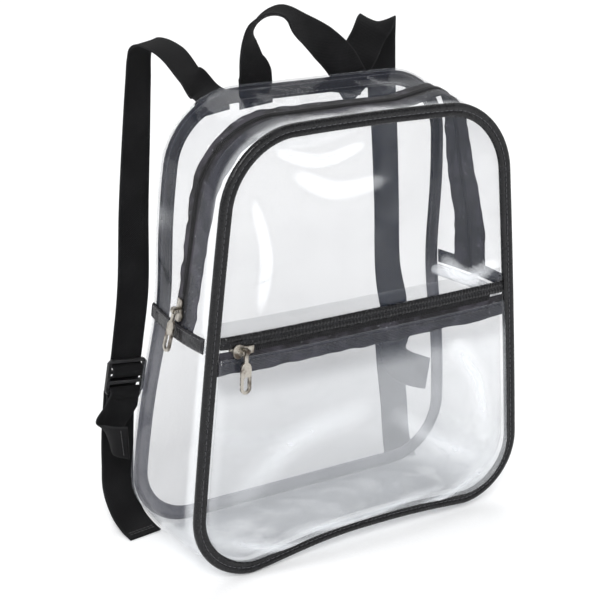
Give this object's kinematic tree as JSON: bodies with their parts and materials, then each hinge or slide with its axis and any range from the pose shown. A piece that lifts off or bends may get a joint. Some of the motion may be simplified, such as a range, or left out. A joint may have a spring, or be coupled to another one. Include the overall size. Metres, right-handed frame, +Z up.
{
  "type": "backpack",
  "caption": "Clear sheet backpack with black bound edges, a zipped main space, a zipped front pocket, a webbing handle and adjustable shoulder straps.",
  "frame": {"origin": "on the floor, under the middle of the flat part of the bottom", "axes": "+X across the bag to the right of whoever wears it, the front with the pocket faces -Y, +Z up"},
  "size_m": [0.2818, 0.1368, 0.3504],
  "materials": {
    "clear_sheet": "clear glossy flexible vinyl sheet",
    "binding": "glossy black binding tape",
    "zip_tape": "woven black zip tape",
    "zip_coil": "black nylon coil",
    "metal": "worn nickel plating",
    "webbing": "black woven webbing",
    "lock_plastic": "black moulded plastic"
  },
  "bodies": {
    "bag": {"back_panel": "clear_sheet", "front_panel": "clear_sheet", "pocket_panel": "clear_sheet", "pocket_back": "clear_sheet", "gusset_lower": "clear_sheet", "gusset_rear": "clear_sheet", "gusset_front": "clear_sheet", "front_binding": "binding", "back_seam_tape": "binding", "seam_strip_left": "binding", "seam_strip_right": "binding", "main_zip_tape_rear": "zip_tape", "main_zip_tape_front": "zip_tape", "main_zip_coil": "zip_coil", "pocket_zip_tape_upper": "zip_tape", "pocket_zip_tape_lower": "zip_tape", "pocket_zip_coil": "zip_coil", "pocket_zip_slider": "metal", "main_zip_slider": "metal", "handle": "webbing", "shoulder_strap_left": "webbing", "shoulder_strap_right": "webbing", "lower_strap_left": "webbing", "lower_strap_right": "webbing", "ladder_lock_left": "lock_plastic", "ladder_lock_right": "lock_plastic"},
    "pocket_pull": {"pocket_zip_pull": "metal"},
    "main_pull": {"main_zip_pull": "metal"}
  },
  "joints": [
    {"name": "pocket_pull_hinge", "type": "hinge", "parent": "bag", "child": "pocket_pull", "pos_m": [-0.09814, -0.04606, 0.158], "axis": [1, 0, 0], "range_deg": [-170, 0]},
    {"name": "main_pull_hinge", "type": "hinge", "parent": "bag", "child": "main_pull", "pos_m": [-0.12511, -0.00388, 0.17659], "axis": [0, -0.995, -0.0997], "range_deg": [-170, 0]}
  ]
}
